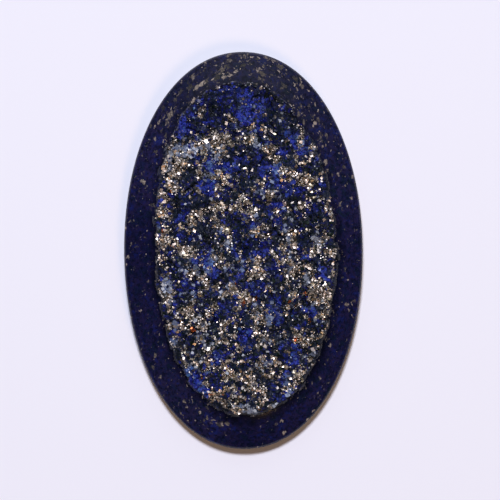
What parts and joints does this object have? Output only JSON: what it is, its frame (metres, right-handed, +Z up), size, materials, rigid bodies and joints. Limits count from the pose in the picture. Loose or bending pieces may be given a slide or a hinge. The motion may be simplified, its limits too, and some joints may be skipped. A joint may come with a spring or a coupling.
{
  "type": "rough-faced lapis lazuli cabochon",
  "caption": "Oval lapis lazuli cabochon with a flat back, a polished indigo shoulder and a rough natural face of blue lazurite, pale calcite and glinting pyrite.",
  "frame": {"origin": "middle of the flat back", "axes": "+Y along the stone's length, +X across it, +Z up through the rough face"},
  "size_m": [0.0252, 0.042, 0.0056],
  "materials": {
    "lapis": "polished on the shoulder, rough and granular on the natural face"
  },
  "bodies": {
    "root": {"lapis_stone": "lapis"}
  },
  "joints": []
}
